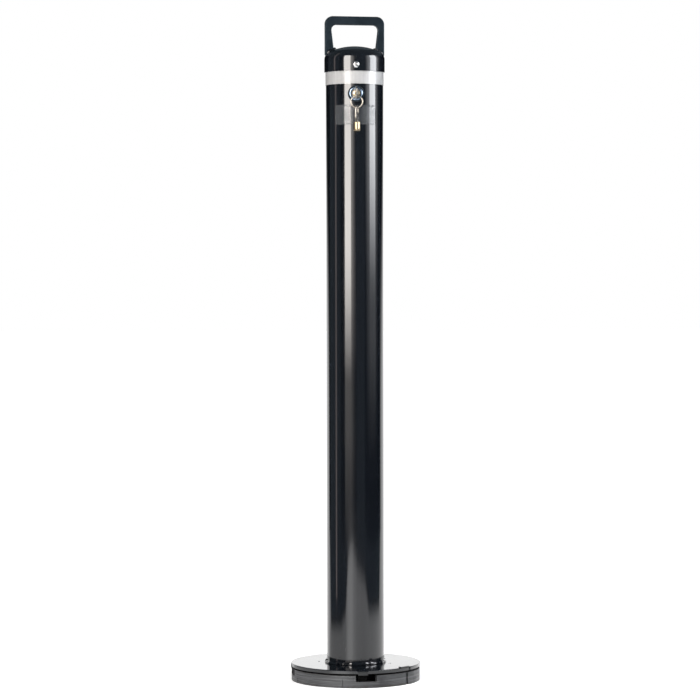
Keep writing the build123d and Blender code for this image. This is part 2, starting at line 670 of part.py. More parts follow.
def key_shank():
    """Tubular key barrel on the Z axis, tip at zero and pointing down, with its locating nib inside."""
    barrel = ring(KEY_BARREL_R, KEY_BARREL_BORE_R, 0, KEY_BARREL_LENGTH - KEY_BARREL_END_WALL)
    barrel += rod(KEY_BARREL_R, KEY_BARREL_LENGTH - KEY_BARREL_END_WALL, KEY_BARREL_LENGTH)
    nib_root = -KEY_BARREL_BORE_R - KEY_NIB_DEPTH
    nib = block(-KEY_NIB_HALF_WIDTH, KEY_NIB_HALF_WIDTH, nib_root, -KEY_BARREL_BORE_R, 0, KEY_NIB_LENGTH)
    return barrel + nib


def key_bow():
    """Flat bow in the Y-Z plane above its barrel, with an oblong hole for the ring."""
    plate = Pos(0, KEY_BARREL_LENGTH + BOW_LENGTH / 2) * RectangleRounded(BOW_HEIGHT, BOW_LENGTH, BOW_CORNER)
    hole_z = KEY_BARREL_LENGTH + BOW_LENGTH - BOW_RIM - BOW_HOLE_LENGTH / 2
    plate -= Pos(0, hole_z) * RectangleRounded(BOW_HEIGHT - 2 * BOW_RIM, BOW_HOLE_LENGTH, BOW_HOLE_CORNER)
    return Rot(0, 0, 90) * front_plate(plate, -BOW_THICKNESS / 2, BOW_THICKNESS / 2)


def inserted_key_place():
    """The key in the lock: its tip in the keyway, its bow out at the front, leaning a little to the left."""
    return facing_front(LOCK_Z) * Pos(0, 0, KEY_BARREL_TIP_Y) * Rot(0, 0, KEY_TILT)


def key_ring_centre_z():
    hole_bottom = LOCK_Z - BOW_HEIGHT / 2 + BOW_RIM
    return hole_bottom + RING_PLAY + RING_WIRE_R - RING_R


def make_key_ring():
    return Pos(0, -KEY_RING_Y, key_ring_centre_z()) * Rot(90, 0, 0) * Torus(RING_R, RING_WIRE_R)


def spare_key_place():
    """The spare key hangs tip down from the lowest point of the ring, its bow a little turned."""
    hole_top = key_ring_centre_z() - RING_R + RING_WIRE_R + SPARE_KEY_PLAY
    tip_z = hole_top + BOW_RIM - BOW_LENGTH - KEY_BARREL_LENGTH
    return Pos(0, -KEY_RING_Y, tip_z) * Rot(0, 0, SPARE_KEY_TURN)


def write(name, shape):
    """Write one named piece, and say where it lies."""
    shape.label = name
    export_step(shape, f"parts/{name}.step")
    box = shape.bounding_box()
    print(f"{name:22s} solids {len(shape.solids())}  z {box.min.Z:8.2f} to {box.max.Z:8.2f}")


os.makedirs("parts", exist_ok=True)

half_turn = Rot(0, 0, 180)
PIECES = {
    "base_plate": make_base_plate(),
    "base_ring": make_base_ring(),
    "keeper_wall": make_keeper_wall(),
    "keeper_plate": make_keeper_plate(),
    "keeper_screws": make_keeper_screws(),
    "post_flange": make_post_flange(),
    "locating_lugs": make_locating_lugs(),
    "post_tube": make_post_tube(),
    "flange_weld": make_flange_weld(),
    "top_cap": make_top_cap(),
    "lift_handle": make_lift_handle(),
    "handle_welds": make_handle_welds(),
    "cap_screws": make_cap_screws(),
    "reflective_band": make_reflective_band(),
    "blank_label": make_blank_label(),
    "lock_collar": make_lock_collar(),
    "lock_body": make_lock_body(),
    "lock_nut": make_lock_nut(),
    "lock_plug": make_lock_plug(),
    "cam_arm": make_cam_arm(),
    "cam_screw": make_cam_screw(),
    "crank_pin": make_crank_pin(),
    "upper_rod_guide": rod_guide(UPPER_GUIDE_Z),
    "lower_rod_guide": rod_guide(LOWER_GUIDE_Z),
    "latch_rod": make_latch_rod(),
    "lift_plate": make_lift_plate(),
    "rod_stop": make_rod_stop(),
    "claw_cam": make_claw_cam(),
    "claw_bracket": make_claw_bracket(),
    "claw_pivot_pins": make_claw_pivot_pins(),
    "right_claw": make_right_claw(),
    "right_claw_pin": make_right_claw_pin(),
    "left_claw": half_turn * make_right_claw(),
    "left_claw_pin": half_turn * make_right_claw_pin(),
    "key_shank": inserted_key_place() * key_shank(),
    "key_bow": inserted_key_place() * key_bow(),
    "key_ring": make_key_ring(),
    "spare_key_shank": spare_key_place() * key_shank(),
    "spare_key_bow": spare_key_place() * key_bow(),
}

for piece_name, piece in PIECES.items():
    write(piece_name, piece)

ring_z = key_ring_centre_z()
print(f"rod travel {ROD_TRAVEL:.4f} mm, ring's top {ring_z + RING_R:.2f} and bottom {ring_z - RING_R:.2f}")
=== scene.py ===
import json
import math

import bmesh
import bpy
from mathutils import Matrix, Quaternion, Vector, noise


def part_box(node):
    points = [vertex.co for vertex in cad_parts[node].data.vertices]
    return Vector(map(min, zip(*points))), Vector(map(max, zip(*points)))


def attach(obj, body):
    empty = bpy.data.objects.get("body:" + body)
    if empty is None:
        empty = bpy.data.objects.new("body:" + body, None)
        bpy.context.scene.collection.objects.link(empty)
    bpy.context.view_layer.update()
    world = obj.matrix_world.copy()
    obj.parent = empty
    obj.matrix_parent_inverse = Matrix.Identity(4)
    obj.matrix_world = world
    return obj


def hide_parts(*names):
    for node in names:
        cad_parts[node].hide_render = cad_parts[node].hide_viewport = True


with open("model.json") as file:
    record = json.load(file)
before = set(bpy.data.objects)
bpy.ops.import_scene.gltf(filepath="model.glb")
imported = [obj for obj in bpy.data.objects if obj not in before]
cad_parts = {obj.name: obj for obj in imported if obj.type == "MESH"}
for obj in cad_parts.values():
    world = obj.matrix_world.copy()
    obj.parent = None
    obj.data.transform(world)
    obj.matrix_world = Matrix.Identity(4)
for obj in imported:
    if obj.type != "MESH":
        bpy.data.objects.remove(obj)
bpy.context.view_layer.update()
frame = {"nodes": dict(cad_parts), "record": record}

MM = 0.001
TAU = 2 * math.pi

# Camera: a long lens a little above the post's middle, and a little to the left of the lock.
# Distances are in metres and angles in degrees.
CAMERA_DISTANCE = 4.15
CAMERA_HEIGHT = 0.615
CAMERA_AZIMUTH = -2.7
CAMERA_LENS = 137.96
CAMERA_PITCH = 1.442
CAMERA_YAW = 0.107
CAMERA_ROLL = -0.11

# Places and sizes read from the frame
TUBE_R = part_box("post_tube")[1].x
FLANGE_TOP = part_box("flange_weld")[0].z
CAP_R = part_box("top_cap")[1].x
CAP_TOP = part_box("top_cap")[1].z
HANDLE_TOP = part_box("lift_handle")[1].z
BAND_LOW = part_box("reflective_band")[0].z
RING_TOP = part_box("base_ring")[1].z
LABEL_LOW, LABEL_HIGH = (corner.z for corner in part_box("blank_label"))
LOCK_Z = (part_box("lock_plug")[0].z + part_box("lock_plug")[1].z) / 2

# The part's own sizes that no box gives
CAP_SHOULDER_R = 14.5 * MM
CAP_SHOULDER_Z = CAP_TOP - 21 * MM
HANDLE_TURN = math.radians(8.7)
HANDLE_HALF_WIDTH = 46.4 * MM
HANDLE_HALF_GAP = 32 * MM
HANDLE_HALF_PLATE = 4 * MM
KEY_BARREL = 13.5 * MM
KEY_TILT = math.radians(8)
SPARE_KEY_TURN = math.radians(-16)
BOW_LENGTH = 25 * MM
BOW_HALF_HEIGHT = 9 * MM
BOW_RIM = 2 * MM
BOW_HALF_THICKNESS = 1.3 * MM


# ---------------------------------------------------------------- materials

class Graph:
    """A material's node graph, with helpers that measure in metres in the shared frame."""

    def __init__(self, name):
        self.material = bpy.data.materials.new(name)
        self.material.use_nodes = True
        self.tree = self.material.node_tree
        self.place = self.node("ShaderNodeTexCoord").outputs["Object"]

    def node(self, kind, **settings):
        made = self.tree.nodes.new(kind)
        for key, value in settings.items():
            setattr(made, key, value)
        return made

    def link(self, output, target):
        self.tree.links.new(output, target)

    def stretched(self, scale):
        """Object coordinates scaled along each axis."""
        mapping = self.node("ShaderNodeMapping")
        mapping.inputs["Scale"].default_value = scale
        self.link(self.place, mapping.inputs["Vector"])
        return mapping.outputs["Vector"]

    def noise(self, scale, detail=3.0, roughness=0.55, stretch=None):
        texture = self.node("ShaderNodeTexNoise")
        texture.inputs["Scale"].default_value = scale
        texture.inputs["Detail"].default_value = detail
        texture.inputs["Roughness"].default_value = roughness
        self.link(self.stretched(stretch) if stretch else self.place, texture.inputs["Vector"])
        return texture.outputs["Fac"]

    def cells(self, scale):
        texture = self.node("ShaderNodeTexVoronoi")
        texture.inputs["Scale"].default_value = scale
        self.link(self.place, texture.inputs["Vector"])
        return texture.outputs["Distance"]

    def along(self, direction):
        """Distance from the origin along a direction. The direction's length scales it."""
        dot = self.node("ShaderNodeVectorMath", operation="DOT_PRODUCT")
        dot.inputs[1].default_value = direction
        self.link(self.place, dot.inputs[0])
        return dot.outputs["Value"]

    def height(self):
        """Height above the ground."""
        return self.along((0, 0, 1))

    def oval(self, centre, half_x, half_y, turn=0.0):
        """0 at the centre of an oval patch of the ground plan, 1 on its edge."""
        mapping = self.node("ShaderNodeMapping", vector_type="TEXTURE")
        mapping.inputs["Location"].default_value = centre
        mapping.inputs["Rotation"].default_value = (0, 0, turn)
        mapping.inputs["Scale"].default_value = (half_x, half_y, 1)
        self.link(self.place, mapping.inputs["Vector"])
        length = self.node("ShaderNodeVectorMath", operation="LENGTH")
        self.link(mapping.outputs["Vector"], length.inputs[0])
        return length.outputs["Value"]

    def painted(self, name):
        """A value stored on the mesh's vertices."""
        return self.node("ShaderNodeAttribute", attribute_name=name).outputs["Fac"]

    def ramp(self, value, low, high, start=0.0, end=1.0):
        """Smoothly maps value from low..high to start..end."""
        mapped = self.node("ShaderNodeMapRange", interpolation_type="SMOOTHSTEP")
        for socket, number in zip(("From Min", "From Max", "To Min", "To Max"), (low, high, start, end)):
            mapped.inputs[socket].default_value = number
        self.link(value, mapped.inputs["Value"])
        return mapped.outputs["Result"]

    def combine(self, operation, one, two):
        maths = self.node("ShaderNodeMath", operation=operation)
        for index, value in enumerate((one, two)):
            if isinstance(value, (int, float)):
                maths.inputs[index].default_value = value
            else:
                self.link(value, maths.inputs[index])
        return maths.outputs["Value"]

    def product(self, one, two):
        return self.combine("MULTIPLY", one, two)

    def total(self, *values):
        summed = values[0]
        for value in values[1:]:
            summed = self.combine("ADD", summed, value)
        return summed


class Surface(Graph):
    """A Principled material whose colour, roughness and normal are built up from procedural textures."""

    def __init__(self, name, colour, roughness, metallic=0.0, **constants):
        super().__init__("finish_" + name)
        self.shader = self.tree.nodes["Principled BSDF"]
        self.normal = None
        self.set("Base Color", (*colour, 1.0))
        self.set("Roughness", roughness)
        self.set("Metallic", metallic)
        for socket, value in constants.items():
            self.set(socket.replace("_", " "), value)

    def set(self, socket, value):
        self.shader.inputs[socket].default_value = value

    def colour_mix(self, mask, colour):
        """Lays another colour over the current one where mask is 1."""
        mix = self.node("ShaderNodeMix", data_type="RGBA")
        self.link(mask, mix.inputs["Factor"])
        base = self.shader.inputs["Base Color"]
        if base.links:
            self.link(base.links[0].from_socket, mix.inputs["A"])
        else:
            mix.inputs["A"].default_value = base.default_value
        mix.inputs["B"].default_value = (*colour, 1.0)
        self.link(mix.outputs["Result"], base)

    def value_mix(self, socket, mask, value):
        """Changes a number, such as roughness, to value where mask is 1."""
        mix = self.node("ShaderNodeMix", data_type="FLOAT")
        self.link(mask, mix.inputs["Factor"])
        base = self.shader.inputs[socket]
        if base.links:
            self.link(base.links[0].from_socket, mix.inputs["A"])
        else:
            mix.inputs["A"].default_value = base.default_value
        mix.inputs["B"].default_value = value
        self.link(mix.outputs["Result"], base)

    def bump(self, height, depth):
        """Adds relief, depth metres from the texture's 0 to its 1."""
        relief = self.node("ShaderNodeBump")
        relief.inputs["Distance"].default_value = depth
        self.link(height, relief.inputs["Height"])
        if self.normal is not None:
            self.link(self.normal, relief.inputs["Normal"])
        self.normal = relief.outputs["Normal"]
        self.link(self.normal, self.shader.inputs["Normal"])


def gloss_black():
    """Baked black enamel: deep gloss with a slight orange peel, dust specks and a scuffed foot."""
    s = Surface("gloss_black", (0.0035, 0.0045, 0.0065), 0.08, Coat_Weight=0.4, Coat_Roughness=0.03)
    s.value_mix("Roughness", s.ramp(s.noise(9, 4), 0.35, 0.75), 0.16)
    specks = s.ramp(s.cells(260), 0.05, 0.09, 1.0, 0.0)
    sparse = s.ramp(s.noise(60, 2), 0.60, 0.68)
    dust = s.product(specks, sparse)
    s.colour_mix(dust, (0.07, 0.07, 0.068))
    s.value_mix("Roughness", dust, 0.5)
    scuffs = s.ramp(s.noise(30, 6, 0.7, stretch=(6, 6, 1.2)), 0.66, 0.72)
    near_foot = s.ramp(s.height(), 30 * MM, 200 * MM, 1.0, 0.0)
    foot = s.product(scuffs, near_foot)
    s.colour_mix(foot, (0.05, 0.05, 0.05))
    s.value_mix("Roughness", foot, 0.42)
    s.bump(s.noise(240, 2, 0.4), 0.012 * MM)
    s.bump(s.noise(38, 2, 0.5), 0.05 * MM)
    return s.material


def satin_black():
    """Semi-gloss black paint on the handle and the lock's surround, rubbed on its high edges."""
    s = Surface("satin_black", (0.0045, 0.0070, 0.0095), 0.34, Specular_Tint=(0.62, 0.82, 1.0, 1.0))
    s.set("Specular IOR Level", 0.42)
    s.value_mix("Roughness", s.ramp(s.noise(70, 5, 0.6), 0.35, 0.7), 0.46)
    rubbed = s.ramp(s.noise(55, 8, 0.75, stretch=(1, 1, 3)), 0.66, 0.72)
    high = s.ramp(s.height(), HANDLE_TOP - 11 * MM, HANDLE_TOP - 1 * MM)
    worn = s.product(rubbed, high)
    s.colour_mix(worn, (0.06, 0.06, 0.06))
    s.bump(s.noise(900, 3, 0.6), 0.010 * MM)
    s.bump(s.noise(120, 3), 0.03 * MM)
    return s.material


def weld_black():
    """Thick glossy paint over rough weld metal."""
    s = Surface("weld_black", (0.003, 0.004, 0.006), 0.11, Coat_Weight=0.4, Coat_Roughness=0.05)
    s.value_mix("Roughness", s.ramp(s.noise(240, 4), 0.5, 0.75), 0.25)
    s.bump(s.noise(420, 3, 0.5), 0.03 * MM)
    s.bump(s.noise(110, 2), 0.16 * MM)
    return s.material


def lug_black():
    """Black lugs: gloss paint on the heads, and painted shade on the tongues: near-black, dull and barely
    glossy down in the windows.
    """
    s = Surface("lug_black", (0.010, 0.011, 0.012), 0.30)
    # Painted shade: below the ring's top the tongues are coloured near black, dull and barely glossy,
    # standing in for the shade inside the windows.
    tongue_painted_shade = s.ramp(s.height(), RING_TOP - 0.2 * MM, RING_TOP + 0.8 * MM, 1.0, 0.0)
    s.colour_mix(tongue_painted_shade, (0.002, 0.002, 0.002))
    s.value_mix("Roughness", tongue_painted_shade, 0.8)
    s.value_mix("Specular IOR Level", tongue_painted_shade, 0.05)
    s.value_mix("Roughness", s.ramp(s.noise(300, 4), 0.55, 0.75), 0.5)
    s.bump(s.noise(260, 3), 0.06 * MM)
    return s.material


def base_grey():
    """Rolled grey steel under a thin satin coat, with drawn horizontal streaks and scuffs, and painted shade
    in a dark band along its top edge.
    """
    s = Surface("base_grey", (0.052, 0.054, 0.057), 0.40, metallic=0.5)
    streaks = s.noise(1.0, 5, 0.6, stretch=(9, 9, 520))
    s.colour_mix(s.ramp(streaks, 0.42, 0.66), (0.105, 0.107, 0.112))
    s.colour_mix(s.ramp(s.noise(28, 5, 0.65), 0.50, 0.75), (0.034, 0.035, 0.038))
    lines = s.ramp(s.noise(1.0, 3, 0.5, stretch=(14, 14, 900)), 0.58, 0.66)
    s.colour_mix(lines, (0.012, 0.012, 0.013))
    s.value_mix("Roughness", s.ramp(s.noise(60, 5, 0.6, stretch=(1, 1, 8)), 0.4, 0.7), 0.55)
    scratches = s.ramp(s.noise(26, 8, 0.8, stretch=(1, 1, 9)), 0.64, 0.69)
    s.colour_mix(scratches, (0.26, 0.26, 0.255))
    near_ground = s.ramp(s.height(), 0.0, 6 * MM, 1.0, 0.0)
    s.colour_mix(s.product(near_ground, s.ramp(s.noise(140, 4), 0.4, 0.65)), (0.035, 0.032, 0.028))
    # Painted shade: a near-black, dull, non-metallic band along the ring's top edge stands in for the shade
    # in the gap under the flange.
    top_edge_painted_shade = s.ramp(s.height(), RING_TOP - 0.7 * MM, RING_TOP - 0.2 * MM)
    s.colour_mix(top_edge_painted_shade, (0.008, 0.008, 0.008))
    s.value_mix("Roughness", top_edge_painted_shade, 0.8)
    s.value_mix("Metallic", top_edge_painted_shade, 0.0)
    s.bump(streaks, 0.05 * MM)
    s.bump(s.noise(700, 3), 0.015 * MM)
    return s.material


def bright_steel():
    """Turned stainless screws."""
    s = Surface("bright_steel", (0.66, 0.66, 0.67), 0.24, metallic=1.0)
    s.value_mix("Roughness", s.ramp(s.noise(500, 4), 0.4, 0.7), 0.38)
    s.colour_mix(s.ramp(s.noise(300, 3), 0.5, 0.8), (0.5, 0.5, 0.5))
    s.bump(s.noise(1800, 2), 0.006 * MM)
    return s.material


def chrome():
    """Bright chrome plate on the lock's face, with a blue tint that is a painted reflection of a bluish
    surround.
    """
    # The blue base colour is a painted reflection, not a tint of the chrome itself.
    s = Surface("chrome", (0.37, 0.47, 0.62), 0.15, metallic=1.0)
    s.value_mix("Roughness", s.ramp(s.noise(420, 4), 0.5, 0.75), 0.26)
    s.bump(s.noise(260, 3), 0.012 * MM)
    return s.material


def plug_nickel():
    """Satin nickel of the turning plug, brushed by the key."""
    s = Surface("plug_nickel", (0.30, 0.29, 0.27), 0.3, metallic=1.0)
    s.value_mix("Roughness", s.ramp(s.noise(700, 4), 0.4, 0.7), 0.45)
    s.colour_mix(s.ramp(s.noise(260, 4), 0.5, 0.75), (0.20, 0.19, 0.17))
    s.bump(s.noise(1500, 3), 0.008 * MM)
    return s.material


def zinc_steel():
    """Zinc plate with its faint spangle, on the mechanism inside."""
    s = Surface("zinc_steel", (0.45, 0.465, 0.49), 0.36, metallic=1.0)
    s.colour_mix(s.ramp(s.cells(190), 0.15, 0.75), (0.36, 0.375, 0.40))
    s.colour_mix(s.ramp(s.noise(45, 5, 0.7), 0.62, 0.80), (0.28, 0.27, 0.25))
    s.value_mix("Roughness", s.ramp(s.noise(120, 4), 0.4, 0.7), 0.52)
    s.bump(s.noise(900, 4), 0.012 * MM)
    return s.material


def key_brass():
    """Worn brass of the key barrels."""
    s = Surface("key_brass", (0.47, 0.38, 0.25), 0.36, metallic=1.0)
    s.colour_mix(s.ramp(s.noise(220, 5, 0.65), 0.45, 0.75), (0.30, 0.23, 0.14))
    s.value_mix("Roughness", s.ramp(s.noise(500, 4), 0.4, 0.7), 0.40)
    s.bump(s.noise(1300, 3), 0.01 * MM)
    return s.material


def key_nickel():
    """Warm nickel plate of the ring."""
    s = Surface("key_nickel", (0.56, 0.51, 0.44), 0.30, metallic=1.0)
    s.colour_mix(s.ramp(s.noise(180, 5, 0.65), 0.45, 0.75), (0.42, 0.38, 0.32))
    s.value_mix("Roughness", s.ramp(s.noise(420, 4), 0.4, 0.7), 0.38)
    s.bump(s.noise(1200, 3), 0.008 * MM)
    return s.material


def shaded_bow_nickel():
    """Nickel of the key bows: the ring's nickel in darker colours, as painted shade for bows that catch less
    light.
    """
    # Painted shade: the same nickel as the ring, with darker colours so that the bows read dimmer.
    s = Surface("shaded_bow_nickel", (0.23, 0.215, 0.19), 0.27, metallic=1.0)
    s.colour_mix(s.ramp(s.noise(170, 5, 0.65), 0.45, 0.72), (0.13, 0.125, 0.11))
    s.value_mix("Roughness", s.ramp(s.noise(420, 4), 0.4, 0.7), 0.42)
    s.bump(s.noise(1200, 3), 0.008 * MM)
    return s.material


def reflective_tape():
    """Grey-white beaded sheeting: fine upright ribs and beads under a smooth face film."""
    s = Surface("reflective_tape", (0.30, 0.302, 0.305), 0.4, Coat_Weight=0.6, Coat_Roughness=0.06)
    ribs = s.noise(520, 1, 0.4, stretch=(1, 1, 0.01))
    s.colour_mix(s.ramp(ribs, 0.35, 0.65), (0.37, 0.372, 0.375))
    s.colour_mix(s.ramp(s.cells(2600), 0.2, 0.7), (0.325, 0.327, 0.33))
    s.colour_mix(s.ramp(s.noise(42, 4), 0.5, 0.8), (0.275, 0.277, 0.28))
    edge_low = s.ramp(s.height(), BAND_LOW, BAND_LOW + 1.2 * MM, 1.0, 0.0)
    s.colour_mix(s.product(edge_low, s.ramp(s.noise(300, 4), 0.35, 0.6)), (0.20, 0.20, 0.195))
    s.bump(s.cells(2600), 0.02 * MM)
    s.bump(s.noise(60, 3), 0.04 * MM)
    return s.material


def clear_film():
    """Clear vinyl film with a slight haze and a few trapped bubbles."""
    s = Surface("clear_film", (0.16, 0.17, 0.18), 0.16, IOR=1.47, Alpha=0.15, Coat_Weight=0.4,
                Coat_Roughness=0.05)
    s.value_mix("Alpha", s.ramp(s.noise(480, 5, 0.7), 0.45, 0.70), 0.21)
    rim_high = s.ramp(s.height(), LABEL_HIGH - 0.9 * MM, LABEL_HIGH - 0.3 * MM)
    rim_low = s.ramp(s.height(), LABEL_LOW + 0.3 * MM, LABEL_LOW + 0.9 * MM, 1.0, 0.0)
    s.value_mix("Alpha", s.total(rim_high, rim_low), 0.4)
    bubbles = s.ramp(s.cells(230), 0.06, 0.14, 1.0, 0.0)
    sparse = s.ramp(s.noise(90, 2), 0.56, 0.64)
    s.value_mix("Alpha", s.product(bubbles, sparse), 0.5)
    s.value_mix("Roughness", s.ramp(s.noise(120, 4), 0.45, 0.7), 0.24)
    s.bump(s.noise(700, 3), 0.006 * MM)
    return s.material


MATERIALS = {
    "gloss_black": gloss_black(),
    "satin_black": satin_black(),
    "weld_black": weld_black(),
    "base_grey": base_grey(),
    "bright_steel": bright_steel(),
    "chrome": chrome(),
    "plug_nickel": plug_nickel(),
    "zinc_steel": zinc_steel(),
    "key_brass": key_brass(),
    "key_nickel": key_nickel(),
    "reflective_tape": reflective_tape(),
    "clear_film": clear_film(),
}
SHADED_BOW_NICKEL = shaded_bow_nickel()


def finish_cad_nodes():
    """Every carried-over node takes the finish of its record slot. The lugs take their own."""
    for entry in frame["record"]["subparts"]:
        node = frame["nodes"][entry["node"]]
        node.data.materials.clear()
        node.data.materials.append(MATERIALS[entry["material_slot"]])
    frame["nodes"]["locating_lugs"].data.materials[0] = lug_black()


# ---------------------------------------------------------------- mesh helpers

def piece(name, mesh, body, slot, replaced=(), finish=None):
    """A new visible piece: smooth, in its slot's finish or its own, riding on a body."""
    mesh.materials.append(finish or MATERIALS[slot])
    mesh.polygons.foreach_set("use_smooth", [True] * len(mesh.polygons))
    obj = bpy.data.objects.new(name, mesh)
    bpy.context.scene.collection.objects.link(obj)
    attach(obj, body)
    for node in replaced:
        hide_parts(node)


def mesh_of(name, rows, closed_rows=True, closed_columns=False, caps=False):
    """A mesh skinned over rows of points; rows and columns can close on themselves."""
    mesh = bpy.data.meshes.new(name)
    bm = bmesh.new()
    grid = [[bm.verts.new(point) for point in row] for row in rows]
    count, width = len(grid), len(grid[0])
    for i in range(count if closed_columns else count - 1):
        above = grid[(i + 1) % count]
        for j in range(width if closed_rows else width - 1):
            k = (j + 1) % width
            bm.faces.new((grid[i][j], grid[i][k], above[k], above[j]))
    if caps:
        bm.faces.new(list(reversed(grid[0])))
        bm.faces.new(grid[-1])
    bmesh.ops.recalc_face_normals(bm, faces=bm.faces)
    bm.to_mesh(mesh)
    bm.free()
    return mesh


def join_meshes(name, meshes):
    """One mesh from several."""
    joined = bpy.data.meshes.new(name)
    bm = bmesh.new()
    for mesh in meshes:
        bm.from_mesh(mesh)
        bpy.data.meshes.remove(mesh)
    bm.to_mesh(joined)
    bm.free()
    return joined


def spun(name, profile, segments=96, place=Matrix.Identity(4), shape=None):
    """A closed (radius, height) outline spun round Z. shape(angle, radius, height) may move points."""
    rows = []
    for i in range(segments):
        angle = TAU * i / segments
        row = []
        for radius, height in profile:
            if shape is not None:
                radius, height = shape(angle, radius, height)
            row.append(place @ Vector((radius * math.cos(angle), radius * math.sin(angle), height)))
        rows.append(row)
    return mesh_of(name, rows, closed_columns=True)


def swept(name, path, radii, sides):
    """A round bar of changing radius along an open path that is never upright."""
    rows = []
    up = Vector((0, 0, 1))
    for i, point in enumerate(path):
        along = (path[min(i + 1, len(path) - 1)] - path[max(i - 1, 0)]).normalized()
        side = along.cross(up).normalized()
        lift = side.cross(along).normalized()
        ring = []
        for j in range(sides):
            angle = TAU * j / sides
            ring.append(point + radii[i] * (math.cos(angle) * side + math.sin(angle) * lift))
        rows.append(ring)
    return mesh_of(name, rows, caps=True)


def smooth(share):
    """Eases a share from 0 to 1, and holds it to that range."""
    share = max(0.0, min(1.0, share))
    return share * share * (3 - 2 * share)


def flattened(wave):
    """A sine or cosine that dwells near its ends, which squares off a round section."""
    return math.copysign(abs(wave) ** 0.7, wave)


def wander(angle, turns, seed):
    """Smooth, repeatable variation round a circle, from about -1 to 1."""
    return noise.noise(Vector((turns * math.cos(angle), turns * math.sin(angle), seed)))


# ---------------------------------------------------------------- welds

def foot_weld():
    """The fat, uneven fillet round the post's foot, laid in overlapping ripples."""
    segments = 720
    section = 12
    ripple_pitch = 11 * MM
    tuck = 1 * MM
    fullness = 0.85
    rows = []
    for i in range(segments):
        angle = TAU * i / segments
        lump = wander(angle, 4.5, 3.1)
        leg = (4.6 + 1.0 * wander(angle, 3.0, 0.4) + 1.3 * lump) * MM
        reach = (3.3 + 0.8 * wander(angle, 3.4, 7.7) + 1.2 * wander(angle, 5.0, 1.9)) * MM
        run = angle * (TUBE_R + 3 * MM) + 0.8 * MM * wander(angle, 14.0, 5.2)
        crest = abs(math.sin(math.pi * run / ripple_pitch))
        row = [Vector((TUBE_R - tuck, 0, FLANGE_TOP - tuck))]
        for j in range(section):
            turn = math.pi / 2 * j / (section - 1)
            swell = 1 + 0.05 * crest * math.sin(2 * turn) + 0.08 * lump
            out = reach * math.cos(turn) ** fullness * swell
            rise = leg * math.sin(turn) ** fullness * swell
            row.append(Vector((TUBE_R + out, 0, FLANGE_TOP + rise)))
        row[1].z = FLANGE_TOP - 0.3 * tuck
        row[-1].x = TUBE_R - 0.3 * tuck
        turned = Matrix.Rotation(angle, 4, "Z")
        rows.append([turned @ point for point in row])
    mesh = mesh_of("foot_weld_bead", rows, closed_columns=True)
    piece("foot_weld_bead", mesh, "post", "weld_black", ["flange_weld"])


def weld_spatter():
    """A few beads of spatter stuck to the flange and the post near the weld."""
    count = 26
    meshes = []
    for i in range(count):
        angle = TAU * (i / count + 0.35 * noise.noise(Vector((i * 1.7, 0.3, 8.0))))
        size = (0.45 + 0.5 * abs(noise.noise(Vector((i * 2.3, 4.1, 0.9))))) * MM
        if i % 3 == 0:
            height = (8 + 12 * abs(noise.noise(Vector((i * 0.9, 2.2, 6.0))))) * MM
            radius, z = TUBE_R, FLANGE_TOP + height
        else:
            radius = TUBE_R + (9 + 22 * abs(noise.noise(Vector((i * 1.1, 9.2, 3.0))))) * MM
            z = FLANGE_TOP
        place = Matrix.Rotation(angle, 4, "Z") @ Matrix.Translation((radius, 0, z))
        bm = bmesh.new()
        bmesh.ops.create_icosphere(bm, subdivisions=2, radius=size, matrix=place)
        bead = bpy.data.meshes.new("spatter_bead")
        bm.to_mesh(bead)
        bm.free()
        meshes.append(bead)
    piece("weld_spatter", join_meshes("weld_spatter", meshes), "post", "weld_black")


def cap_height(radius):
    """Height of the cap's outer surface at a distance from the axis."""
    inset = CAP_R - CAP_SHOULDER_R
    rise = CAP_TOP - CAP_SHOULDER_Z
    dome_r = (inset ** 2 + rise ** 2 - CAP_SHOULDER_R ** 2) / (2 * (rise - CAP_SHOULDER_R))
    dome_z = CAP_TOP - dome_r
    on_dome = dome_z + math.sqrt(dome_r ** 2 - radius ** 2)
    slope_end = inset + CAP_SHOULDER_R * inset / math.hypot(inset, CAP_SHOULDER_Z - dome_z)
    if radius <= slope_end:
        return on_dome
    return CAP_SHOULDER_Z + math.sqrt(max(0.0, CAP_SHOULDER_R ** 2 - (radius - inset) ** 2))


def handle_weld(side, name, replaced):
    """A lumpy bead round three sides of one handle foot, following the dome."""
    outer = HANDLE_HALF_WIDTH - 2.5 * MM
    inner = HANDLE_HALF_GAP
    front = HANDLE_HALF_PLATE + 0.24 * MM
    corners = [(outer, -front), (inner, -front), (inner - 0.48 * MM, 0), (inner, front), (outer, front)]
    path, radii = [], []
    steps = 16
    taper_steps = 6
    for leg, (start, end) in enumerate(zip(corners, corners[1:])):
        for i in range(steps):
            t = i / steps
            x = side * (start[0] + (end[0] - start[0]) * t)
            y = start[1] + (end[1] - start[1]) * t
            spot = Matrix.Rotation(HANDLE_TURN, 4, "Z") @ Vector((x, y, 0))
            along = (leg + t) * 4.3
            lump = noise.noise(Vector((along, 2.7 * side, 1.3)))
            spot.z = cap_height(spot.to_2d().length) + 0.5 * MM
            path.append(spot)
            step = leg * steps + i
            left = (len(corners) - 1) * steps - step
            end_taper = min(1.0, (step + 1) / taper_steps, left / taper_steps)
            crest = abs(math.sin(along * 2.1))
            radii.append((2.2 + 0.55 * lump + 0.35 * crest) * MM * (0.35 + 0.65 * end_taper))
    piece(name, swept(name, path, radii, sides=16), "post", "weld_black", replaced)


# ---------------------------------------------------------------- keys

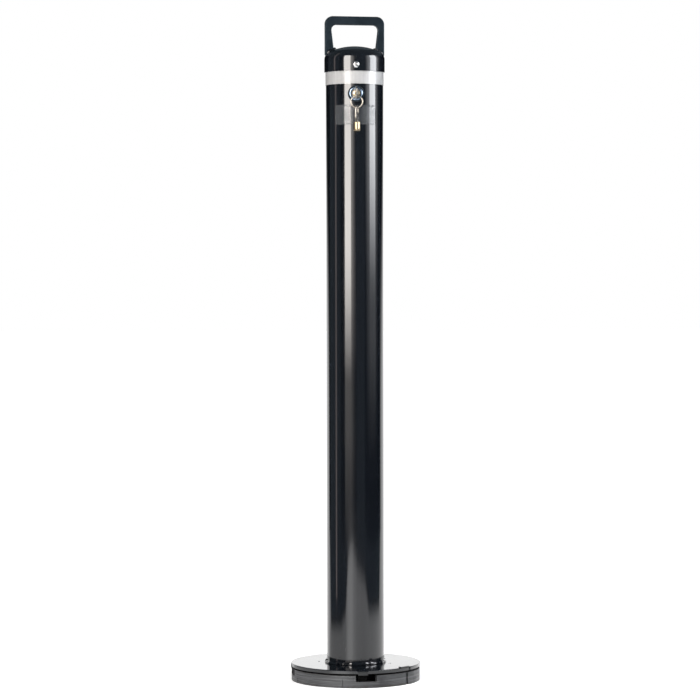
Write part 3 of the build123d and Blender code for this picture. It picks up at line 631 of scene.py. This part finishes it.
def key_tip_notches(angle, radius, height):
    """The seven half-round cuts in a tubular key's rim."""
    depths = (1.2, 2.1, 0.7, 1.7, 2.4, 1.0, 1.6)
    places = 8
    half_cut = 0.26
    if height < 1.0 * MM:
        for i, depth in enumerate(depths):
            gap = (angle - TAU * (i + 0.5) / places + math.pi) % TAU - math.pi
            if abs(gap) < half_cut:
                height += depth * MM * math.sqrt(max(0.0, 1 - (gap / half_cut) ** 2))
    return radius, height


def key_shank(name, place, body, replaced):
    """Hollow brass barrel with its cut rim, closed under the bow."""
    profile = [(3.45, 0.0), (4.75, 0.0), (5.0, 0.3), (5.0, 3.2), (5.0, 12.6), (4.9, 13.2), (4.5, 13.5),
               (1.0, 13.5), (0.05, 13.5), (0.05, 10.6), (3.2, 10.5), (3.45, 10.2), (3.45, 3.4)]
    outline = [(radius * MM, height * MM) for radius, height in profile]
    mesh = spun(name, outline, 128, place, key_tip_notches)
    piece(name, mesh, body, "key_brass", [replaced])


def rounded_outline(half_x, half_y, corner, angle):
    """Point of a rounded rectangle seen from its centre at an angle, as a superellipse."""
    power = 2 + 6 * (1 - corner / min(half_x, half_y))
    c, s = abs(math.cos(angle)), abs(math.sin(angle))
    reach = ((c / half_x) ** power + (s / half_y) ** power) ** (-1 / power)
    return reach * math.cos(angle), reach * math.sin(angle)


def key_bow(name, place, body, replaced):
    """Pressed bow: a soft-edged plate round an oblong hole, with a rounded neck at the barrel."""
    segments = 120
    hole_half_length = 5 * MM
    hole_centre = KEY_BARREL + BOW_LENGTH - BOW_RIM - hole_half_length
    bow_centre = KEY_BARREL + BOW_LENGTH / 2
    section = [(0.0, 0.45), (0.08, 0.8), (0.2, 0.96), (0.45, 0.98), (0.62, 0.90), (0.82, 0.90),
               (0.95, 0.75), (1.0, 0.4)]
    loop = [(share, half) for share, half in section] + [(share, -half) for share, half in reversed(section)]
    rows = []
    for i in range(segments):
        angle = TAU * i / segments
        outer_y, outer_z = rounded_outline(BOW_HALF_HEIGHT, BOW_LENGTH / 2, 5.5 * MM, angle)
        inner_y, inner_z = rounded_outline(BOW_HALF_HEIGHT - BOW_RIM, hole_half_length, 3.5 * MM, angle)
        outer = Vector((outer_y, bow_centre + outer_z))
        inner = Vector((inner_y, hole_centre + inner_z))
        row = []
        for share, half in loop:
            spot = outer.lerp(inner, share)
            thickness = BOW_HALF_THICKNESS * half
            row.append(place @ Vector((thickness, spot.x, spot.y)))
        rows.append(row)
    plate = mesh_of(name, rows, closed_columns=True)
    neck_outline = [(0.05, 13.0), (2.2, 13.0), (2.4, 13.6), (2.2, 14.4), (1.7, 15.4), (1.5, 16.8),
                    (1.2, 17.6), (0.05, 18.0)]
    neck = spun("neck", [(radius * MM, height * MM) for radius, height in neck_outline], 64, place)
    mesh = join_meshes(name, [plate, neck])
    # The bows wear the darker copy of the nickel, as painted shade.
    piece(name, mesh, body, "key_nickel", [replaced], finish=SHADED_BOW_NICKEL)


def split_ring():
    """A flat-wound split ring of two turns, its ends stepped where it crosses over."""
    low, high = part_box("key_ring")
    centre = (low + high) / 2
    wire_r = (high.y - low.y) / 2
    turn_r = (high.x - low.x) / 2 - wire_r
    steps = 260
    turns = 1.93
    start_angle = 0.6
    crossing_start, crossing_length = 0.46, 0.08
    turn_offset = 0.49 * wire_r
    wire_half_width = 0.97 * wire_r
    wire_half_depth = 0.46 * wire_r
    sides = 12
    rows = []
    for i in range(steps + 1):
        share = i / steps
        angle = TAU * turns * share + start_angle
        cross = smooth((share - crossing_start) / crossing_length)
        offset = (2 * cross - 1) * turn_offset
        taper = min(1.0, 0.45 + 8 * share, 0.45 + 8 * (1 - share))
        outwards = Vector((math.cos(angle), 0, math.sin(angle)))
        row = []
        for j in range(sides):
            spin = TAU * j / sides
            width = wire_half_width * taper * flattened(math.cos(spin))
            depth = wire_half_depth * flattened(math.sin(spin))
            row.append(centre + outwards * (turn_r + width) + Vector((0, offset + depth, 0)))
        rows.append(row)
    mesh = mesh_of("split_key_ring", rows, caps=True)
    piece("split_key_ring", mesh, "ring", "key_nickel", ["key_ring"])


def keys():
    """The key in the lock, its ring and the spare key."""
    tip_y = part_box("key_shank")[1].y
    inserted = (Matrix.Translation((0, tip_y, LOCK_Z)) @ Matrix.Rotation(math.pi / 2, 4, "X")
                @ Matrix.Rotation(KEY_TILT, 4, "Z"))
    key_shank("key_barrel", inserted, "key", "key_shank")
    key_bow("key_grip", inserted, "key", "key_bow")
    split_ring()
    low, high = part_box("spare_key_shank")
    spare = Matrix.Translation((0, (low.y + high.y) / 2, low.z)) @ Matrix.Rotation(SPARE_KEY_TURN, 4, "Z")
    key_shank("spare_key_barrel", spare, "spare_key", "spare_key_shank")
    key_bow("spare_key_grip", spare, "spare_key", "spare_key_bow")


# ---------------------------------------------------------------- lock, band and label

def lock_front():
    """Soft-edged chrome bezel over the lock body's face and a dished ring round the plug."""
    front = -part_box("lock_body")[0].y
    outline = [(7.1, -2.2), (10.2, -2.2), (10.25, -1.0), (10.05, -0.45), (9.6, -0.1), (9.0, 0.0),
               (8.5, -0.12), (8.2, -0.42), (7.6, -0.55), (7.2, -0.6), (7.1, -0.75)]
    place = Matrix.Translation((0, -front, LOCK_Z)) @ Matrix.Rotation(math.pi / 2, 4, "X")
    mesh = spun("lock_bezel", [(radius * MM, height * MM) for radius, height in outline], 128, place)
    piece("lock_bezel", mesh, "post", "chrome")


def curved_sheet(name, half_azimuth, low, high, corner, inner, outer, body, slot, replaced=(), middle=0.0):
    """A thin rounded-corner sheet wrapped on the post round an azimuth in degrees."""
    columns, levels = 72, 20
    half_width = math.radians(half_azimuth) * TUBE_R
    half_height = (high - low) / 2
    centre_z = (high + low) / 2
    faces = []
    for radius in (outer, inner):
        rows = []
        for i in range(columns + 1):
            across = half_width * (2 * i / columns - 1)
            over = max(0.0, abs(across) - (half_width - corner))
            reach = half_height - corner + math.sqrt(max(0.0, corner ** 2 - over ** 2))
            angle = across / TUBE_R + math.radians(middle)
            rows.append([Vector((radius * math.sin(angle), -radius * math.cos(angle),
                                 centre_z + reach * (2 * j / levels - 1))) for j in range(levels + 1)])
        faces.append(rows)
    mesh = bpy.data.meshes.new(name)
    bm = bmesh.new()
    sheets = [[[bm.verts.new(point) for point in row] for row in rows] for rows in faces]
    for sheet in sheets:
        for i in range(columns):
            for j in range(levels):
                bm.faces.new((sheet[i][j], sheet[i + 1][j], sheet[i + 1][j + 1], sheet[i][j + 1]))
    rim = [(i, 0) for i in range(columns)] + [(columns, j) for j in range(levels)]
    rim += [(i, levels) for i in range(columns, 0, -1)] + [(0, j) for j in range(levels, 0, -1)]
    for spot, (i, j) in enumerate(rim):
        k, m = rim[(spot + 1) % len(rim)]
        bm.faces.new((sheets[0][i][j], sheets[0][k][m], sheets[1][k][m], sheets[1][i][j]))
    bmesh.ops.recalc_face_normals(bm, faces=bm.faces)
    bm.to_mesh(mesh)
    bm.free()
    piece(name, mesh, body, slot, replaced)


def wraps():
    """The clear label film, and the tape's lapped end at the back of the post."""
    low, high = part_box("blank_label")
    curved_sheet("clear_label", 44, low.z, high.z, 3 * MM, TUBE_R + 0.02 * MM, TUBE_R + 0.22 * MM,
                 "post", "clear_film", ["blank_label"])
    low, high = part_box("reflective_band")
    curved_sheet("tape_lap", 9, low.z + 0.3 * MM, high.z - 0.3 * MM, 0.6 * MM, high.x - 0.05 * MM,
                 high.x + 0.25 * MM, "post", "reflective_tape", middle=172)


# ---------------------------------------------------------------- stage, lights and camera

def around(azimuth, distance, height):
    """A point at an azimuth from the front, growing towards +X."""
    turn = math.radians(azimuth)
    return Vector((distance * math.sin(turn), -distance * math.cos(turn), height))


def stage_sheet(name, rows, material, camera=True, light=True):
    """A sheet of the set, through rows of points. It can be hidden from the eye, or kept to reflections."""
    mesh = mesh_of(name, rows, closed_rows=False)
    mesh.materials.append(material)
    obj = bpy.data.objects.new(name, mesh)
    bpy.context.scene.collection.objects.link(obj)
    obj.visible_camera = camera
    obj.visible_diffuse = light
    return obj


def glow(name, colour, strength_of):
    """A light-giving material whose strength is a function of place."""
    graph = Graph(name)
    graph.tree.nodes.remove(graph.tree.nodes["Principled BSDF"])
    emission = graph.node("ShaderNodeEmission")
    emission.inputs["Color"].default_value = (*colour, 1)
    graph.link(strength_of(graph), emission.inputs["Strength"])
    graph.link(emission.outputs["Emission"], graph.tree.nodes["Material Output"].inputs["Surface"])
    return graph.material


FLOOR_HALF = 30.0
SOFTBOX_HEIGHT = 2.3
BACKDROP_HEIGHT = 1.9

# Lit floor: azimuth from the camera's side, reach in metres and brightness
FLOOR_POOL = [(-180, 4.0, 1.45), (-132, 4.0, 1.35), (-112, 0.80, 0.85), (-60, 0.82, 1.2), (-42, 1.0, 1.3),
              (-25, 2.5, 2.55), (-17, 3.2, 2.6), (0, 2.2, 1.5), (32, 1.8, 1.35), (58, 1.08, 1.5),
              (108, 1.1, 1.55), (125, 4.0, 1.45), (180, 4.0, 1.45)]


def pool_at(azimuth):
    """Reach and brightness of the lit floor at an azimuth from the camera's side."""
    for (start, near, dim), (end, far, lit) in zip(FLOOR_POOL, FLOOR_POOL[1:]):
        if start <= azimuth <= end:
            share = smooth((azimuth - start) / (end - start))
            return near + (far - near) * share, dim + (lit - dim) * share


def floor():
    """A pale floor for the eye, glowing less near the post as a painted shadow, and just under it the pool
    of lit floor that the gloss paint mirrors.
    """
    paint = Surface("pale_floor", (0.72, 0.72, 0.72), 0.9, Emission_Color=(1, 1, 1, 1))
    paint.set("Specular IOR Level", 0.0)
    # Painted shadow: the floor's own glow is dimmer near the post, which stands in for a soft shadow round
    # its foot.
    far = paint.ramp(paint.oval((0, 0, 0), 1.4, 1.4), 0.15, 1.0, 0.62, 1.05)
    paint.link(far, paint.shader.inputs["Emission Strength"])
    corners = [[(x, y, 0) for x in (-FLOOR_HALF, FLOOR_HALF)] for y in (-FLOOR_HALF, FLOOR_HALF)]
    stage_sheet("floor", corners, paint.material).visible_glossy = False

    steps = [step / 24 for step in range(25)]
    azimuths = range(-180, 181, 3)
    inner_r = 0.03
    soft_rim = 0.34
    rows = []
    for azimuth in azimuths:
        reach = pool_at(azimuth)[0]
        rows.append([around(CAMERA_AZIMUTH + azimuth, inner_r + reach * step, -1 * MM) for step in steps])
    light = glow("floor_pool", (1, 1, 1), lambda g: g.painted("lit"))
    pool = stage_sheet("floor_pool", rows, light, camera=False, light=False)
    values = [pool_at(azimuth)[1] * smooth((1 - step) / soft_rim) for azimuth in azimuths for step in steps]
    pool.data.attributes.new("lit", "FLOAT", "POINT").data.foreach_set("value", values)


def backdrop():
    """A curved sweep behind the post, for reflections only, bright below and highest in its middle."""
    toward = around(CAMERA_AZIMUTH, 1, 0)
    side = Vector((-toward.y, toward.x, 0))

    def sweep(g):
        across = g.along(side)
        slant = g.total(g.height(), g.product(g.combine("ABSOLUTE", across, 0.0), 0.4))
        edges = g.product(g.ramp(across, -2.02, -1.92), g.ramp(across, 2.09, 2.17, 1.0, 0.0))
        return g.product(edges, g.ramp(slant, 1.02, 1.58, 1.45, 0.0))

    behind = CAMERA_AZIMUTH + 180
    heights = (0, BACKDROP_HEIGHT)
    rows = [[around(behind + azimuth, 2.5, z) for azimuth in range(-63, 64, 3)] for z in heights]
    stage_sheet("backdrop", rows, glow("backdrop", (1, 1, 1), sweep), camera=False, light=False)


def softbox(name, azimuth, width, skirts, colour, strength, fade, tail, distance=2.2):
    """An upright panel light facing the post, with soft skirts, dying out towards its foot.

    Each skirt is its reach and its strength beside the panel, first on the left, then on the right.
    Its light rises between the two heights of its fade. The tail is a faint glow below that: the two
    heights that it rises between and its strength.
    """
    half = width / 2 + max(reach for reach, brightness in skirts)
    centre = around(azimuth, distance, 0)
    side = Vector((-centre.y, centre.x, 0)).normalized()

    def light(g):
        across = g.along(side)
        off = g.combine("ABSOLUTE", across, 0.0)
        wide = g.ramp(off, 0.45 * width, 0.53 * width, 1.0, 0.0)
        for (reach, brightness), sign in zip(skirts, (-1, 1)):
            beside = g.product(across, sign)
            outer = g.ramp(beside, width / 2, width / 2 + reach, brightness, 0.0)
            wide = g.combine("MAXIMUM", wide, g.product(outer, g.ramp(beside, 0.0, 0.05)))
        face = g.product(g.ramp(g.height(), fade[0], fade[1]), wide)
        spread = g.ramp(wide, 0.0, 0.3)
        foot = g.product(g.ramp(g.height(), tail[0], tail[1], 0.0, tail[2]), spread)
        return g.product(g.total(face, foot), strength)

    rows = [[centre + side * half * step + Vector((0, 0, z)) for step in (-1, 1)]
            for z in (0, SOFTBOX_HEIGHT)]
    stage_sheet(name, rows, glow(name, colour, light), camera=False)


def studio():
    """White surroundings to the eye. The gloss sees a dim room, two tall softboxes and a thin strip."""
    softbox("left_softbox", azimuth=-30.2, width=1.00, skirts=((0.35, 0.03), (0.85, 0.20)),
            colour=(1.0, 0.95, 0.905), strength=12.0, fade=(0.36, 0.72), tail=(-0.10, 0.30, 0.075))
    softbox("right_softbox", azimuth=73.2, width=1.14, skirts=((1.10, 0.20), (0.90, 0.13)),
            colour=(0.95, 0.965, 1.0), strength=12.0, fade=(0.56, 1.08), tail=(0.18, 0.58, 0.06))
    softbox("side_strip", azimuth=-83.0, width=0.12, skirts=((0.01, 0.0), (0.01, 0.0)),
            colour=(1.0, 0.86, 0.84), strength=1.3, fade=(-1.0, -0.5), tail=(-1.0, -0.5, 0.0), distance=1.12)
    world = bpy.data.worlds.new("studio")
    bpy.context.scene.world = world
    world.use_nodes = True
    nodes, links = world.node_tree.nodes, world.node_tree.links
    nodes.clear()
    output = nodes.new("ShaderNodeOutputWorld")
    seen = nodes.new("ShaderNodeBackground")
    seen.inputs["Color"].default_value = (1, 1, 1, 1)
    room = nodes.new("ShaderNodeBackground")
    room.inputs["Color"].default_value = (0.72, 0.88, 1.0, 1)
    room.inputs["Strength"].default_value = 0.14
    path = nodes.new("ShaderNodeLightPath")
    swap = nodes.new("ShaderNodeMixShader")
    links.new(path.outputs["Is Camera Ray"], swap.inputs["Fac"])
    links.new(room.outputs["Background"], swap.inputs[1])
    links.new(seen.outputs["Background"], swap.inputs[2])
    links.new(swap.outputs["Shader"], output.inputs["Surface"])


def camera():
    """A long lens looking slightly down and a little past the post."""
    made = bpy.data.cameras.new("camera")
    made.lens = CAMERA_LENS
    made.clip_end = 100
    obj = bpy.data.objects.new("camera", made)
    bpy.context.scene.collection.objects.link(obj)
    obj.location = around(CAMERA_AZIMUTH, CAMERA_DISTANCE, CAMERA_HEIGHT)
    heading = math.radians(-CAMERA_AZIMUTH - CAMERA_YAW)
    aim = Vector((math.sin(heading), math.cos(heading), -math.tan(math.radians(CAMERA_PITCH))))
    obj.rotation_mode = "QUATERNION"
    roll = Quaternion((0, 0, 1), math.radians(CAMERA_ROLL))
    obj.rotation_quaternion = aim.to_track_quat("-Z", "Y") @ roll
    bpy.context.scene.camera = obj
    bpy.context.scene.view_settings.view_transform = "Standard"


camera()
studio()
floor()
backdrop()
finish_cad_nodes()
foot_weld()
weld_spatter()
handle_weld(1, "right_handle_weld", ["handle_welds"])
handle_weld(-1, "left_handle_weld", [])
keys()
lock_front()
wraps()
